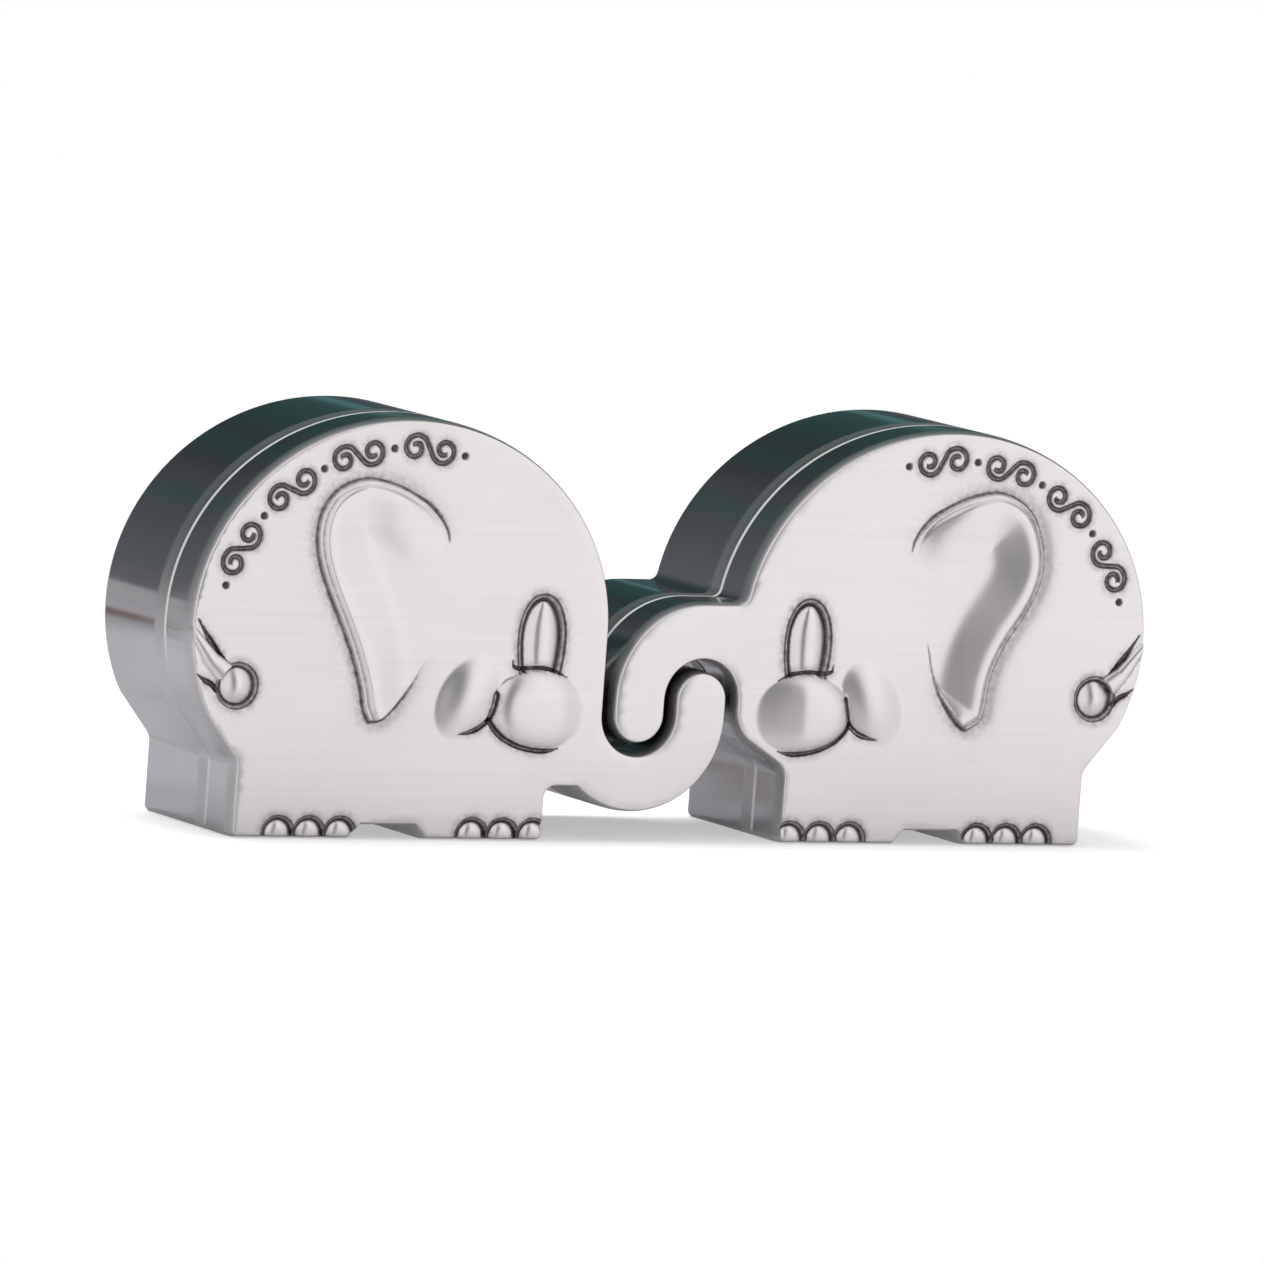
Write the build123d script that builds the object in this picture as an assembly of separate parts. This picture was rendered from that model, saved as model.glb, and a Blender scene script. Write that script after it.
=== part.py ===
from build123d import *
from math import asin, degrees
import os

# Two keepsake boxes shaped as elephants stand nose to nose, and their trunks hook into each other.
# Millimetres. X runs across the pair, the lids face -Y, Z is up and the feet stand on Z = 0.
# X = 0 is the plane half way between the boxes. Each box is drawn on the left, face to the right,
# and the second one is mirrored over to the other side.

# One box
height = 50.0             # floor to crown
body_length = 55.2        # rump to forehead, without the trunk
flat_depth = 24.0         # back plate to lid face, without the relief
lid_depth = 7.0           # lid, from its face to the seam
leg_span = 41.2           # across the two legs
leg_height = 9.0          # where the legs run into rump and chin
rump_angle = 205.0        # degrees round the body's oval, where it leaves for the leg
rump_round = 7.0          # softening where the oval turns into the rump line
leg_round = 2.0           # hollow at the top of a leg
foot_round = 0.8          # outer corner of a foot
belly_length = 9.8        # gap between the feet, at the floor
belly_height = 1.6        # its height
belly_slope = 1.4         # run of its sloped ends

# Trunks
trunk_width = 7.0         # across a trunk, seen from the front
trunk_gap = 1.2           # air between the two hooked trunks
hook_height = 15.2        # centre of the lower hook above the floor
arch_height = 17.1        # centre of the upper hook above the floor
jaw_height = 6.4          # underside of the lower trunk's root
jaw_round = 1.3           # hollow between that underside and the leg
brow_round = 1.2          # hollow between the upper trunk and the forehead
chin_height = 13.4        # corner of the chin behind the upper trunk
chin_round = 4.5          # rounding of that chin

# Castings
wall = 2.0                # side walls
back_plate = 2.0          # back of a tray
face_plate = 2.2          # face of a lid
lip_wall = 1.0            # lip on the lid that enters the tray
lip_reach = 1.5           # how far it enters
fit_gap = 0.2             # lip to tray, all round
seam_bevel = 0.3          # bright edge each side of the seam
face_bevel = 0.4          # edge of the lid's face
back_round = 0.6          # edge of the tray's back

# Magnets that hold the lids
magnet_radius = 2.5
magnet_thickness = 2.0
magnet_fit = 0.05         # magnet to pocket, all round
magnet_sink = 0.1         # below the seam
boss_wall = 1.0           # metal round a pocket
boss_round = 1.5          # corner of a boss

# Velvet
lining_thickness = 0.8    # band round the walls
pad_thickness = 1.5       # pads on the back plate and in the lid
glue_gap = 0.2            # velvet to metal, and velvet to velvet

# Raised forms on a lid's face. Places are shares of half the body's length and of the height.
relief = 1.0              # the cheek, which stands highest
cheek_width = 12.8
cheek_height = 9.6
cheek_share = (0.672, 0.310)
eye_width = 4.7
eye_height = 10.0         # its lower end lies under the cheek
eye_rise = 0.6
eye_share = (0.670, 0.474)
jowl_width = 7.4          # small cheek behind the mouth
jowl_height = 11.0
jowl_rise = 0.9
jowl_tilt = 32.0          # degrees
jowl_share = (0.333, 0.344)
ball_width = 4.7          # tuft of the tail
ball_rise = 0.6
ball_share = (-0.765, 0.360)
tail_width = 3.4          # tail where it meets the tuft
tail_tip = 0.8            # tail at the rump
tail_length = 8.6
tail_rise = 0.5
tail_bevel = 0.3
tail_tilt = 38.0          # degrees from upright
toe_width = 3.7
toe_height = 2.3
toe_rise = 0.45
toe_pitch = 4.05
toe_shift = 2.35          # toes sit this much nearer the face than the middle of their foot
toes_per_foot = 3
groove_width = 0.6        # dark lines round the raised forms
groove_depth = 0.5
line_depth = 0.3          # dark lines at the cheek
mouth_angle = 190.0       # degrees round the cheek, where the mouth has its corner
mouth_turn = 100.0        # degrees from there to the mouth's front end, under the cheek
mouth_rise_share = (-1.0, 0.5)    # upper end of the mouth line, in halves of the cheek
mouth_lip_share = (-1.64, -0.6)   # rear end of the mouth line, in halves of the cheek
eye_foot_angle = 55.0     # degrees round the cheek, front end of the line under the eye
eye_foot_turn = 72.0      # degrees from there over the cheek to its rear end

# Ear. Its rear edge is a curve from the upper front end over the top to the tip.
ear_width = 17.7
ear_height = 29.1
ear_lift = 0.9            # flap along its rear edge
ear_fade = 9.0            # at the front, the flap falls to nothing over this length
ear_bead = 0.65           # radius of the rolled rim
dish_width = 12.4         # hollow of the ear, across its length
dish_height = 26.6
dish_tilt = -21.0         # degrees
dish_share = (-0.072, 0.580)
ear_share = (0.199, 0.274)   # front end of its width, and its tip's height
ear_edge_shares = (
    (0.00, 0.760), (-0.075, 0.845), (-0.285, 0.940), (-0.610, 1.000),
    (-0.895, 0.935), (-1.000, 0.765), (-0.905, 0.560), (-0.740, 0.330), (-0.570, 0.060))
ear_tip_shares = ((-0.500, 0.000), (-0.380, 0.030), (-0.110, 0.290))

overrun = 5.0             # cuts go this far past what they cut

# Worked out from the sizes above
half_length = body_length / 2
half_height = height / 2
leg_half = leg_span / 2
total_depth = flat_depth + relief
face_y = relief - total_depth / 2
seam_y = face_y + lid_depth
back_y = total_depth / 2
floor_y = back_y - back_plate
lid_inner_y = face_y + face_plate
throat = trunk_width / 2 + trunk_gap
hook_outer = throat + trunk_width
hook_reach = (trunk_width + trunk_gap) / 2
centre_x = -(hook_reach + throat + half_length)
face_x = centre_x + half_length
leg_x = centre_x + leg_half
rump_x = centre_x - leg_half
boss_half = magnet_radius + boss_wall


def slab(sketch, front, back):
    """A front view, X across and Z up, made solid between two Y planes."""
    return extrude(Plane.XZ.offset(-back) * sketch, amount=back - front, dir=(0, -1, 0))


def on_face(line):
    """A front view's line laid in the plane of the lid's face."""
    return Plane.XZ.offset(-face_y) * line


def rounded(sketch, x, z, radius):
    """The sketch with its corner nearest to x, z rounded."""
    corner = sketch.vertices().sort_by_distance((x, z, 0))[0]
    return fillet(corner, radius)


def body_arc(start, inset=0):
    """The body's oval from the start angle over the top to the rump, drawn in by inset."""
    return EllipticalCenterArc(
        (centre_x, half_height), half_length - inset, half_height - inset, start, arc_size=rump_angle - start)


def feet():
    """Corners of the underside, from the rear leg to the front leg."""
    half = belly_length / 2
    return [
        (rump_x, 0),
        (centre_x - half, 0),
        (centre_x - half + belly_slope, belly_height),
        (centre_x + half - belly_slope, belly_height),
        (centre_x + half, 0),
        (leg_x, 0)]


def soften_body(sketch, rump):
    """Round the corners that both boxes share."""
    sketch = rounded(sketch, rump.X, rump.Y, rump_round)
    sketch = rounded(sketch, rump_x, leg_height, leg_round)
    sketch = rounded(sketch, rump_x, 0, foot_round)
    return rounded(sketch, leg_x, 0, foot_round)


def hollow_corner(x, z, radius):
    """Filling for the hollow corner between an edge below x, z and one in front of it."""
    corner = Pos(x + radius / 2, z - radius / 2) * Rectangle(radius, radius)
    return corner - Pos(x + radius, z - radius) * Circle(radius)


def tooth_outline():
    """Front view of the box whose trunk dips down and hooks upwards."""
    back = body_arc(0)
    rear = Polyline(
        back @ 1, (rump_x, leg_height), *feet(), (leg_x, leg_height), (face_x, hook_height), back @ 0)
    body = soften_body(make_face([back, rear]), back @ 1)
    hook = (-hook_reach, hook_height)
    root_angle = 180 + degrees(asin((hook_height - jaw_height) / hook_outer))
    under = CenterArc(hook, hook_outer, root_angle, 360 - root_angle)
    tip = CenterArc((hook_reach, arch_height), trunk_width / 2, 0, 180)
    outer_side = Line(under @ 1, tip @ 0)
    bend = CenterArc(hook, throat, 0, -180)
    inner_side = Line(tip @ 1, bend @ 0)
    root = Polyline(bend @ 1, (centre_x, hook_height), (centre_x, jaw_height), under @ 0)
    trunk = make_face([under, outer_side, tip, inner_side, bend, root])
    return body + trunk + hollow_corner(leg_x, jaw_height, jaw_round)


def curl_outline():
    """Front view of the box whose trunk arches over and hangs down, drawn facing right as well."""
    arch = (-hook_reach, arch_height)
    brow_angle = degrees(asin((arch_height + hook_outer - half_height) / half_height))
    back = body_arc(brow_angle)
    bend = CenterArc(arch, throat, 180, -180)
    rear = Polyline(
        back @ 1, (rump_x, leg_height), *feet(), (leg_x, leg_height), (face_x, chin_height), bend @ 0)
    tip = CenterArc((hook_reach, hook_height), trunk_width / 2, 180, 180)
    inner_side = Line(bend @ 1, tip @ 0)
    crown = CenterArc(arch, hook_outer, 0, 90)
    outer_side = Line(tip @ 1, crown @ 0)
    brow = Line(crown @ 1, back @ 0)
    sketch = make_face([back, rear, bend, inner_side, tip, outer_side, crown, brow])
    sketch = soften_body(sketch, back @ 1)
    sketch = rounded(sketch, leg_x, leg_height, leg_round)
    sketch = rounded(sketch, face_x, chin_height, chin_round)
    brow_end = back @ 0
    return rounded(sketch, brow_end.X, brow_end.Y, brow_round)


def hollow(inset):
    """Front view of the space inside a box, drawn in by inset from the body and legs."""
    oval = body_arc(180 - rump_angle, inset)
    slope = Vector(rump_x, leg_height) - body_arc(0) @ 1
    shoulder = leg_height + inset * (slope.length + slope.Y) / slope.X
    low = belly_height + inset
    legs = Polyline(
        oval @ 1, (rump_x + inset, shoulder), (rump_x + inset, low),
        (leg_x - inset, low), (leg_x - inset, shoulder), oval @ 0)
    sketch = make_face([oval, legs])
    for x in (rump_x + inset, leg_x - inset):
        sketch = rounded(sketch, x, shoulder, leg_round + inset)
        sketch = rounded(sketch, x, low, foot_round)
    return sketch


def magnet_places():
    """Three places against the walls: both feet and the crown."""
    low = belly_height + wall + magnet_radius
    return [
        (rump_x + wall + magnet_radius, low),
        (leg_x - wall - magnet_radius, low),
        (centre_x, height - wall - magnet_radius)]


def bosses(grow):
    """Front view of the three magnet bosses, larger by grow all round."""
    side = 2 * (boss_half + grow)
    pads = Sketch()
    for x, z in magnet_places():
        pads += Pos(x, z) * RectangleRounded(side, side, boss_round + grow)
    return pads


def discs(radius, front, back):
    """Three round discs at the magnets' places, between two Y planes."""
    return [slab(Pos(x, z) * Circle(radius), front, back) for x, z in magnet_places()]


def outer_edges(block, last):
    """Edges round the outside of the block's front face, or of its last face towards the back."""
    faces = block.faces().filter_by(Axis.Y).sort_by(Axis.Y)
    face = faces[-1] if last else faces[0]
    return face.outer_wire().edges()


def tray(outline):
    """Back casting: plate, walls, bosses with pockets, and the solid trunk."""
    block = slab(outline, seam_y, back_y)
    block = chamfer(outer_edges(block, False), seam_bevel)
    block = fillet(outer_edges(block, True), back_round)
    block -= slab(hollow(wall) - bosses(0), seam_y - overrun, floor_y)
    for hole in discs(magnet_radius + magnet_fit, seam_y - overrun, seam_y + magnet_sink + magnet_thickness):
        block -= hole
    return block


def dome(place, width, rise):
    """Round cap that comes up from the sunk ground and stands rise in front of the face."""
    sagitta = rise + groove_depth
    radius = ((width / 2) ** 2 + sagitta ** 2) / (2 * sagitta)
    x, z = place
    return Pos(x, face_y - rise + radius, z) * Sphere(radius)


def swelling(place, width, tall, rise, base, tilt=0):
    """Shallow oval cap: width by tall in the plane Y = base, standing rise in front of it."""
    short = min(width, tall)
    radius = ((short / 2) ** 2 + rise ** 2) / (2 * rise)
    wide = width > tall
    start = 0 if wide else -90
    arc = EllipticalCenterArc((0, 0), radius * width / short, radius * tall / short, start, arc_size=180)
    turned = revolve(make_face([arc, Line(arc @ 1, arc @ 0)]), Axis.X if wide else Axis.Y)
    x, z = place
    return Pos(x, base + radius - rise, z) * Rot(0, tilt, 0) * Rot(90, 0, 0) * turned


def at(share):
    """Place on a lid's face, from its share of half the length and of the height."""
    return centre_x + share[0] * half_length, share[1] * height


def pocket(front_view):
    """Cutter for the sunk ground round a raised form."""
    return slab(front_view, face_y - overrun, face_y + groove_depth)


def toe_places():
    """Middle of each toenail, on both feet."""
    foot_middle = (leg_half + belly_length / 2) / 2
    places = []
    for foot in (-foot_middle, foot_middle):
        for toe in range(toes_per_foot):
            step = toe - (toes_per_foot - 1) / 2
            places.append((centre_x + foot + toe_shift + step * toe_pitch, toe_height - toe_width / 2))
    return places


def ear_points(shares):
    """Points on a lid's face from shares of the ear's width and height."""
    front_x, low_z = at(ear_share)
    return [(front_x + across * ear_width, low_z + up * ear_height) for across, up in shares]


def ear_edge():
    """Rear edge of the ear, from its upper front end over the top to its tip."""
    return Spline(*ear_points(ear_edge_shares))


def ear_flap():
    """Flat flap of the ear, as high as its rear edge."""
    edge = ear_edge()
    lower = Spline(*ear_points(ear_edge_shares[-1:] + ear_tip_shares))
    view = make_face([edge, lower, Line(lower @ 1, edge @ 0)])
    return slab(view, face_y - ear_lift, face_y + groove_depth)


def ear_rim():
    """Rolled rim along the ear's rear edge, with a round lower end."""
    path = on_face(ear_edge())
    bead = sweep(Plane(origin=path @ 0, z_dir=path % 0) * Circle(ear_bead), path=path)
    return bead + Pos(*(path @ 1)) * Sphere(ear_bead)


def ear_forms():
    """Flap and rim of the ear, fading out towards the forehead, with the flap hollowed."""
    front_x, low_z = at(ear_share)
    rear_x = front_x - ear_width - overrun
    fade = Spline((front_x, face_y), (front_x - ear_fade, face_y - ear_lift), tangents=((-1, 0), (-1, 0)))
    rest = Polyline(
        fade @ 1, (rear_x, face_y - ear_lift), (rear_x, face_y + overrun), (front_x, face_y + overrun), fade @ 0)
    section = Pos(0, 0, low_z - overrun) * make_face([fade, rest])
    limit = extrude(section, amount=ear_height + 2 * overrun, dir=(0, 0, 1))
    dish = swelling(at(dish_share), dish_width, dish_height, ear_lift, face_y, dish_tilt)
    dish = Pos(0, -ear_lift, 0) * mirror(dish, about=Plane.XZ.offset(-face_y))
    return [(ear_flap() & limit) - dish, ear_rim() & limit]


def tail():
    """Tapered tail from the rump down to its round tuft."""
    x, z = at(ball_share)
    taper = make_face(Polyline(
        (-tail_width / 2, 0), (tail_width / 2, 0), (tail_tip / 2, tail_length),
        (-tail_tip / 2, tail_length), close=True))
    stem = slab(Pos(x, z) * Rot(0, 0, tail_tilt) * taper, face_y - tail_rise, face_y + groove_depth)
    return chamfer(stem.faces().sort_by(Axis.Y)[0].edges(), tail_bevel)


def face_lines():
    """Cutter for the lines at the cheek: mouth under it, up behind it and back past the jowl, and over it."""
    x, z = at(cheek_share)
    half_width = cheek_width / 2
    half_tall = cheek_height / 2
    under = EllipticalCenterArc((x, z), half_width, half_tall, mouth_angle, arc_size=mouth_turn)
    over = EllipticalCenterArc((x, z), half_width, half_tall, eye_foot_angle, arc_size=eye_foot_turn)
    ends = [(x + across * half_width, z + up * half_tall) for across, up in (mouth_rise_share, mouth_lip_share)]
    lines = [under, over] + [Line(under @ 0, end) for end in ends]
    return slab(trace(lines, groove_width), face_y - overrun, face_y + line_depth)


def relief_forms():
    """Everything that stands proud of a lid's face, one form after another."""
    ground = face_y + groove_depth
    toes = [dome(place, toe_width, toe_rise) for place in toe_places()]
    return toes + ear_forms() + [
        tail(),
        dome(at(ball_share), ball_width, ball_rise),
        swelling(at(eye_share), eye_width, eye_height, eye_rise + groove_depth, ground),
        swelling(at(jowl_share), jowl_width, jowl_height, jowl_rise, face_y, jowl_tilt),
        swelling(at(cheek_share), cheek_width, cheek_height, relief, face_y)]


def relief_pockets():
    """Cutters for the sunk ground round eye, tuft and toes."""
    eye_view = Ellipse(eye_width / 2 + groove_width, eye_height / 2 + groove_width)
    views = [Pos(*at(eye_share)) * eye_view, Pos(*at(ball_share)) * Circle(ball_width / 2 + groove_width)]
    views += [Pos(*place) * Circle(toe_width / 2 + groove_width) for place in toe_places()]
    return [pocket(view) for view in views]


def lid(outline):
    """Front casting: face with its relief, walls, bosses with pockets, and the lip."""
    block = slab(outline, face_y, seam_y)
    block = chamfer(outer_edges(block, False), face_bevel)
    block = chamfer(outer_edges(block, True), seam_bevel)
    for ground in relief_pockets():
        block -= ground
    skin = slab(outline, face_y - relief, face_y + face_plate / 2)
    for form in relief_forms():
        block += form & skin
    block -= face_lines()
    for hole in discs(magnet_radius + magnet_fit, seam_y - magnet_sink - magnet_thickness, seam_y + overrun):
        block -= hole
    lip_out = wall + fit_gap
    lip_in = lip_out + lip_wall
    block -= slab(hollow(lip_in) - bosses(0), lid_inner_y, seam_y + overrun)
    return block + slab(hollow(lip_out) - hollow(lip_in) - bosses(fit_gap), seam_y, seam_y + lip_reach)


def tray_magnets():
    """Three discs in the tray's pockets."""
    front = seam_y + magnet_sink
    return Compound(children=discs(magnet_radius, front, front + magnet_thickness))


def lid_magnets():
    """Three discs in the lid's pockets, facing those in the tray."""
    back = seam_y - magnet_sink
    return Compound(children=discs(magnet_radius, back - magnet_thickness, back))


def wall_lining():
    """Velvet band round the tray's walls and bosses, behind the lid's lip."""
    outer = hollow(wall + glue_gap) - bosses(glue_gap)
    inset = glue_gap + lining_thickness
    inner = hollow(wall + inset) - bosses(inset)
    return slab(outer - inner, seam_y + lip_reach + glue_gap, floor_y)


def floor_pad():
    """Velvet pad on the back plate, inside the band."""
    inset = glue_gap + lining_thickness + glue_gap
    return slab(hollow(wall + inset) - bosses(inset), floor_y - pad_thickness, floor_y)


def lid_pad():
    """Velvet pad on the inside of the lid's face."""
    inset = wall + fit_gap + lip_wall + glue_gap
    return slab(hollow(inset) - bosses(glue_gap), lid_inner_y, lid_inner_y + pad_thickness)


def box_pieces(outline):
    """Every piece of one box, by the last part of its name."""
    return {
        "tray": tray(outline),
        "lid": lid(outline),
        "tray_magnets": tray_magnets(),
        "lid_magnets": lid_magnets(),
        "wall_lining": wall_lining(),
        "floor_pad": floor_pad(),
        "lid_pad": lid_pad()}


os.makedirs("parts", exist_ok=True)
for name, piece in box_pieces(tooth_outline()).items():
    export_step(piece, f"parts/tooth_{name}.step")
for name, piece in box_pieces(curl_outline()).items():
    export_step(mirror(piece, about=Plane.YZ), f"parts/curl_{name}.step")
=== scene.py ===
import math

import bmesh
import bpy
import numpy as np
from mathutils import Matrix, Vector
from mathutils.geometry import delaunay_2d_cdt


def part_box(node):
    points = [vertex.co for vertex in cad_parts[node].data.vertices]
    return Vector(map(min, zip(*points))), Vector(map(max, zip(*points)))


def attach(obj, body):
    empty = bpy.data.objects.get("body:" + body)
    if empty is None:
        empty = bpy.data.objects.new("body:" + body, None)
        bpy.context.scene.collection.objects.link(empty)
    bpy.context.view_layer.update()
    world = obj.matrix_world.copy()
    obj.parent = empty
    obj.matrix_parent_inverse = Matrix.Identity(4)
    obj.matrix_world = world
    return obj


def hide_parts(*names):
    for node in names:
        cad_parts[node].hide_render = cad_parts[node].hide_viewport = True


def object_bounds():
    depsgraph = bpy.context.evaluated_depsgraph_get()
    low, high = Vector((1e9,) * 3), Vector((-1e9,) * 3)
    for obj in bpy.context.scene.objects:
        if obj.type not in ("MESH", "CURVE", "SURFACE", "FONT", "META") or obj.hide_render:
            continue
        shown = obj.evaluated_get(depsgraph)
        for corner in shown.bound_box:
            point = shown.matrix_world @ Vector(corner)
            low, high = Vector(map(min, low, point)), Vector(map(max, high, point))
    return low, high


# Two metal keepsake boxes shaped as elephants. Sizes are millimetres and become metres where a mesh is made.
# A place on a lid is u, z: u runs from the middle of the body towards the trunk, z up from the floor.
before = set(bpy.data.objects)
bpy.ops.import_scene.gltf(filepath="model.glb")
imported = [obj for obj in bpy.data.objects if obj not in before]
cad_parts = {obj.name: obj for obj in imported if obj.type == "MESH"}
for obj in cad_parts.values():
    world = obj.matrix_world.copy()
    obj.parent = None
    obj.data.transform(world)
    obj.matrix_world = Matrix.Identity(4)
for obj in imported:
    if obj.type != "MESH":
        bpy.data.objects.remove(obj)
cad_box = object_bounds()
MM = 0.001

# The pair
BODY_MIDDLE = 36.4        # from the plane between the boxes
HEIGHT = 50.0
HALF_LENGTH = 27.6
RELIEF = 1.0              # highest form above the lid's flat face
LID_DEPTH = 7.0
SEAM_BEVEL = 0.3
INSIDE_DEPTH = 1.5        # sides that lie deeper than this behind the face are the lid's inside
FACE_Y = cad_box[0][1] / MM + RELIEF
SEAM_Y = FACE_Y + LID_DEPTH
INSIDE_Y = FACE_Y + INSIDE_DEPTH
BOXES = {"tooth": 1.0, "curl": -1.0}      # which way each one faces along X

# Dark line cut into a face. Places across it are shares of half its width.
LINE_WALL = (0.15, 1.0)
LINE_DARK = (0.75, 1.2)
LINE_LIT_MIDDLE = (0.1, 0.5)      # painted highlight of the groove floor: lighter within this
# share of the dark kept in a line's middle; the rest is a painted highlight
LINE_LIT_MIDDLE_TONE = 0.8
LINE_NARROW = 0.25            # width of a tapered end, as a share
HAZE_TONE = 0.25              # stain beside a line, and how far it reaches
HAZE_REACH = 0.5

# Groove round a raised form
GROOVE_DEPTH = 0.42
GROOVE_WALL = 0.12
GROOVE_CREST = 0.17           # half width of the lighter ridge along it, as a share
GROOVE_CREST_LIGHT = 0.9            # how much of its patina is taken off that ridge, as a painted highlight
GROOVE_HAZE = (0.3, 0.55)     # stain outside it, and how far that reaches

# Raised forms of a lid
EYE = dict(place=(18.55, 24.2), wide=4.7, tall=9.0, foot=6.7, rise=0.35, flat=2.5, groove=0.95)
EYE_UNDER = (
    (14.9, 21.6), (15.1, 20.8), (16.2, 20.55), (18.2, 20.75), (20.0, 20.5), (21.2, 20.1), (22.2, 19.6))
EYE_UNDER_LINE = dict(width=0.55, depth=0.35, taper=(0.25, 0.35))
CHEEK = dict(place=(18.55, 15.6), wide=12.9, tall=9.6)
CHEEK_RISE = 0.97 * RELIEF
CHEEK_FALL = {"tooth": (0.6, 0.7), "curl": (0.88, 0.1)}      # to the trunk, and steeper from CHEEK_BEND on
CHEEK_BEND = 0.52
CHEEK_PLATEAU = 0.5       # share of the rear half before it falls
CHEEK_REAR_FALL = 0.9
JOWL = dict(place=(9.3, 17.1), wide=7.6, tall=11.2, tilt=32.0)
JOWL_RISE = 0.62
MOUTH_UNDER = (
    (12.2, 14.4), (13.0, 13.3), (14.3, 12.2), (16.3, 11.3), (18.4, 10.85), (20.2, 10.8), (21.6, 11.1))
MOUTH_RISE = ((12.2, 14.4), (12.6, 15.6), (13.1, 17.9))
MOUTH_LIP = ((12.2, 14.4), (11.0, 13.4), (9.7, 12.9), (8.3, 12.6))
MOUTH_LINE = dict(width=0.72, depth=0.42, middle=0.6)
MOUTH = ((MOUTH_UNDER, 0.25), (MOUTH_RISE, 0.1), (MOUTH_LIP, 0.5))      # lines, and how far each one tapers
TUFT = dict(place=(-21.1, 18.0), wide=4.3, rise=0.3, flat=2.0, groove=0.72)
TUFT_THIN = 0.62          # how much thinner its groove is where the tail runs in
TAIL_UPPER = ((-26.7, 25.8), (-25.35, 23.8), (-24.1, 22.1), (-23.2, 21.05), (-22.2, 20.65))
TAIL_LOWER = ((-26.4, 19.3), (-25.4, 18.6), (-24.4, 18.1), (-23.7, 17.4))
TAIL_UPPER_LINE = dict(width=0.95, depth=0.45, taper=(0.45, 0.35))
TAIL_LOWER_LINE = dict(width=0.75, depth=0.4, taper=(0.5, 0.0))
TAIL_AXIS = ((-21.6, 18.5), (-24.5, 20.9), (-27.3, 24.4))
TAIL_HALF = (1.6, -1.05)      # half its width at the tuft, and what is added up to its tip
TAIL_RISE = (0.75, -0.35)     # the same for how far it stands up
TAIL_SINK = 0.1
TOES = dict(first=-14.45, pitch=4.05, feet=25.5, top=2.25)
TOE = dict(wide=3.4, rise=0.1, flat=3.4, groove=0.62)
TOES_PER_FOOT = 3

# Ear: rear edge from its upper front end over the top to the tip, then its lower front edge
EAR_TOP = (
    (5.4, 35.4), (5.1, 36.7), (4.2, 38.2), (2.7, 39.7), (0.9, 40.8), (-1.2, 41.8), (-3.5, 42.5), (-5.9, 42.8))
EAR_REAR = {
    "tooth": (
        (-8.0, 42.3), (-9.9, 41.2), (-11.2, 39.6), (-11.9, 37.6), (-12.0, 35.3), (-11.5, 32.8), (-10.3, 29.8),
        (-8.9, 27.0), (-7.4, 24.0), (-6.2, 21.2), (-5.1, 18.0), (-4.5, 15.4)),
    "curl": (
        (-8.2, 42.2), (-10.2, 40.9), (-11.6, 38.9), (-12.5, 36.2), (-12.7, 33.4), (-11.9, 30.4),
        (-10.3, 27.5), (-8.5, 24.8), (-7.1, 22.0), (-6.4, 19.5), (-6.1, 17.0), (-5.6, 15.2))}
EAR_TIP = (-3.7, 13.9)
EAR_LOWER = {
    "tooth": (EAR_TIP, (-2.2, 14.1), (-0.7, 15.3), (0.7, 16.9), (2.0, 18.8), (3.0, 20.6), (4.0, 22.5)),
    "curl": (EAR_TIP, (-2.6, 14.5), (-1.2, 16.1), (0.2, 18.1), (1.0, 19.8), (1.6, 21.5), (2.0, 23.2))}
EAR_REACH = 18.0          # no place of the ear is further than this from its edge
EAR_RISE = 0.84
EAR_CREST = 2.0           # its surface stays level to here from the rear edge
EAR_FOOT = 7.0            # and reaches the face here
EAR_CREST_FROM = 3        # point of its top from which the rear edge counts for that
EAR_FADE = (-3.0, 5.6)    # it runs out over this stretch towards the forehead
EAR_RIM = (0.62, 0.38)    # share of its height that it gains within this of its edge
EAR_INNER = 1.25          # from the bead to here it gains the rest
EAR_BEAD = 0.66           # middle of the thin line inside its rolled rim
EAR_BEAD_DEPTH = 0.12
EAR_HOLLOW = (0.15, 1.2)  # depth and reach of the hollow round it
EAR_DARKENING_REACH = 0.75          # reach of the darker band painted round it
EAR_TOP_LINE = dict(width=0.5, depth=0.16, dark=0.75, taper=(0.5, 0.4), middle=1.0)
EAR_TOP_POINTS = 6

# Scroll band along the crown
SCROLL_INSET = 3.5
SCROLL_ANGLES = (167.0, 74.0)
SCROLLS = 4
SCROLL_ARM = 1.9          # middle of a scroll to the middle of its curls
SCROLL_RADIUS = 1.65
SCROLL_EYE = 0.22         # share of that radius at which a curl starts
SCROLL_TURN = 470.0       # degrees that a curl winds up
SCROLL_RUN_OUT = 50.0     # degrees past its top, where a curl runs out to the other one
SCROLL_POINTS = 30
SCROLL_DEPTH = 0.3
SCROLL_DARK = 0.95
SCROLL_LINE = dict(width=0.72, depth=SCROLL_DEPTH, dark=SCROLL_DARK, taper=(0.04, 0.04))
BEAD = 0.5
BEAD_WALL = 0.4

# Worn front edge of a lid
EDGE_ROUND = 0.45         # how far the casting draws in at its front edge
EDGE_DEEP = 2.6           # and how far behind that edge this starts
EDGE_ROWS = 4             # last rows of corners along it, brushed like the face
EDGE_ARC = (0, 18, 34, 48, 60, 70, 78, 84, 90)      # degrees of the rows of any rounded edge

# Velvet
PAD_CROWN = 0.3           # how much lower a pad is along its edge than in its middle
PAD_CROWN_REACH = 9.0
PAD_SLACK = 0.06
PAD_EDGE = 0.25           # height of its straight side
PAD_ROUND = 1.1
LINING_ROUND = 0.3
LINING_TURN = 60.0        # degrees between two sides that meet in a turned edge

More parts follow.
